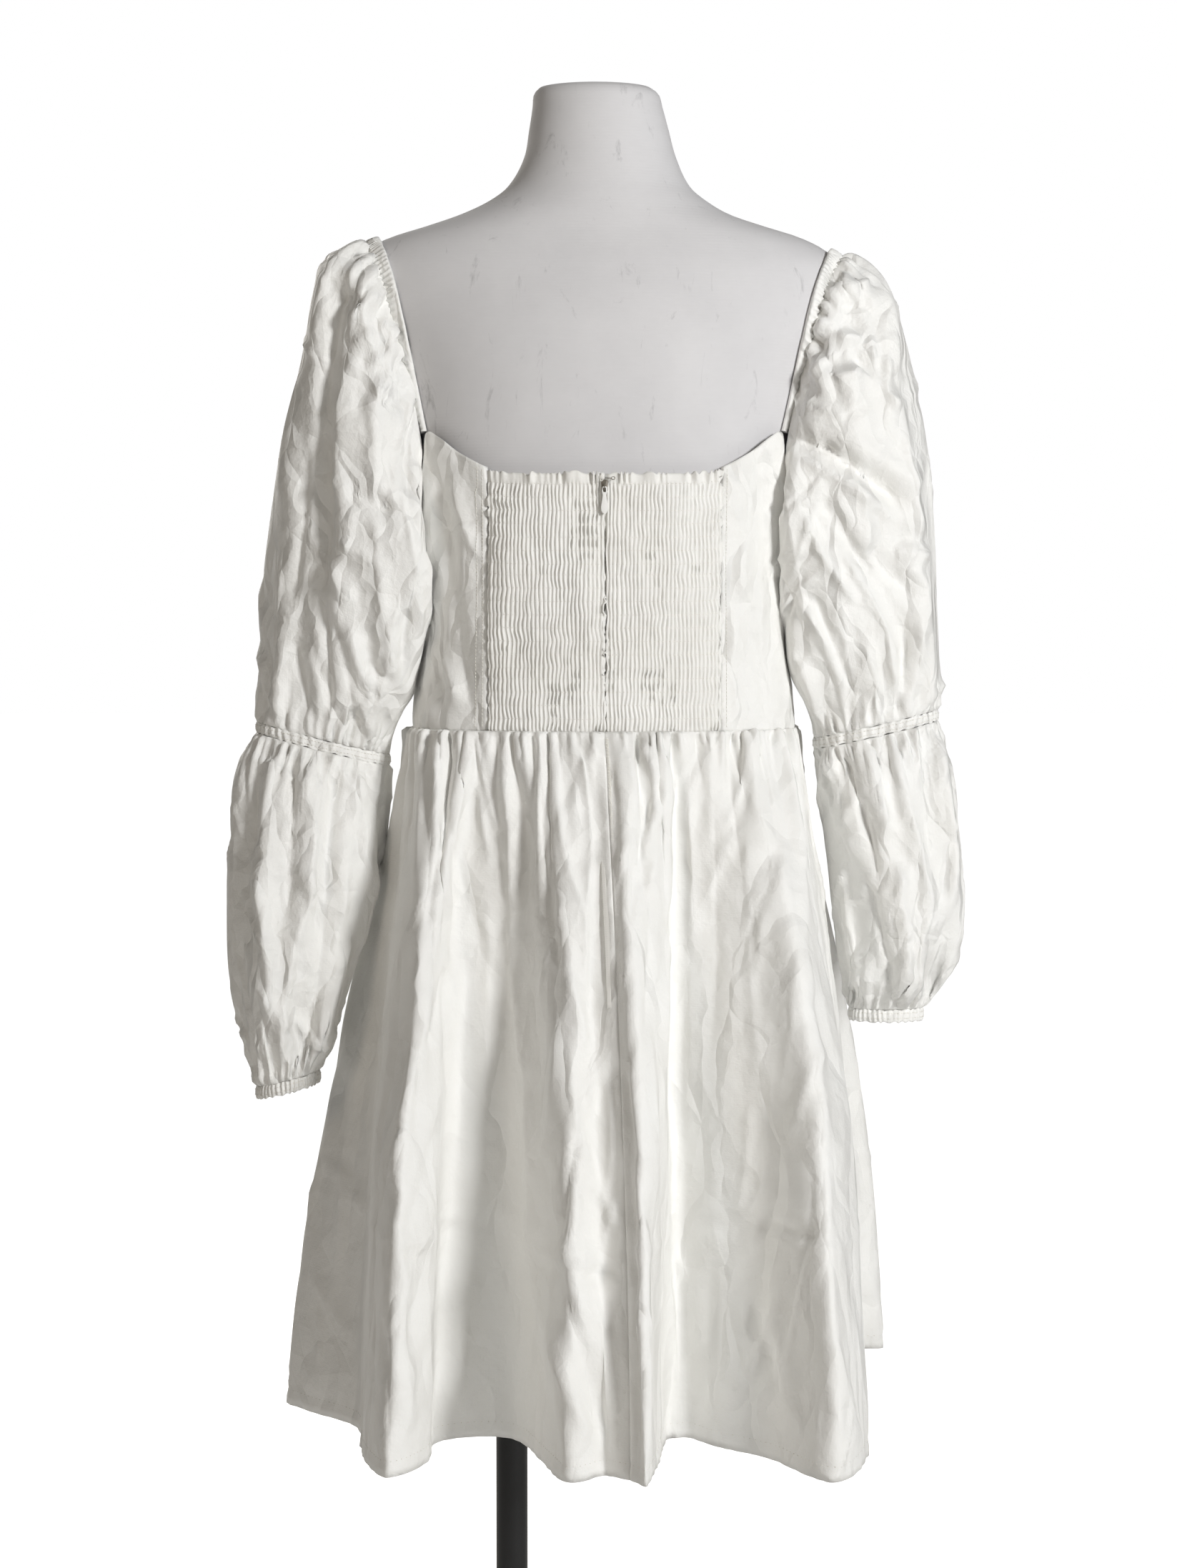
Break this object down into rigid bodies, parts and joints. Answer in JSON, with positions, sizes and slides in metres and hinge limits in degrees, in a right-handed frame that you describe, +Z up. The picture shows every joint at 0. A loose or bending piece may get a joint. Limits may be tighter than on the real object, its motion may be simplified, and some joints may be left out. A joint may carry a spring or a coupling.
{
  "type": "mini dress on a limbless dress form",
  "caption": "Puff-sleeved mini dress with a shirred back, gathered skirt and hinged zip pull, on a limbless dress form with a pole and a round base.",
  "frame": {"origin": "centre of the round base's underside", "axes": "+Z up, -Y towards the back of the dress, +X to the wearer's right"},
  "size_m": [0.5747, 0.5417, 1.4925],
  "materials": {
    "white_cotton": "crisp cotton with a slight lustre",
    "shirred_cotton": "elastic shirring on crisp cotton",
    "grey_jersey": "matt jersey, lightly scuffed",
    "black_enamel": "black, half gloss",
    "white_enamel": "white, half gloss",
    "zip_tape_cloth": "plain woven tape"
  },
  "bodies": {
    "dress_on_form": {"dress_form": "grey_jersey", "stand_base": "black_enamel", "stand_collar": "black_enamel", "stand_pole": "black_enamel", "smock_back_left": "shirred_cotton", "smock_back_right": "shirred_cotton", "side_back_left": "white_cotton", "side_back_right": "white_cotton", "front_bodice": "white_cotton", "skirt_back_left": "white_cotton", "skirt_back_right": "white_cotton", "skirt_front": "white_cotton", "neck_casing_left": "white_cotton", "neck_casing_right": "white_cotton", "sleeve_upper_left": "white_cotton", "sleeve_upper_right": "white_cotton", "elbow_band_left": "white_cotton", "elbow_band_right": "white_cotton", "sleeve_lower_left": "white_cotton", "sleeve_lower_right": "white_cotton", "cuff_left": "white_cotton", "cuff_right": "white_cotton", "zip_tape": "zip_tape_cloth", "zip_slider": "white_enamel"},
    "pull_tab": {"zip_pull": "white_enamel"}
  },
  "joints": [
    {"name": "pull_tab_hinge", "type": "hinge", "parent": "dress_on_form", "child": "pull_tab", "pos_m": [0, -0.10561, 1.18], "axis": [-1, 0, 0], "range_deg": [0, 150]}
  ]
}
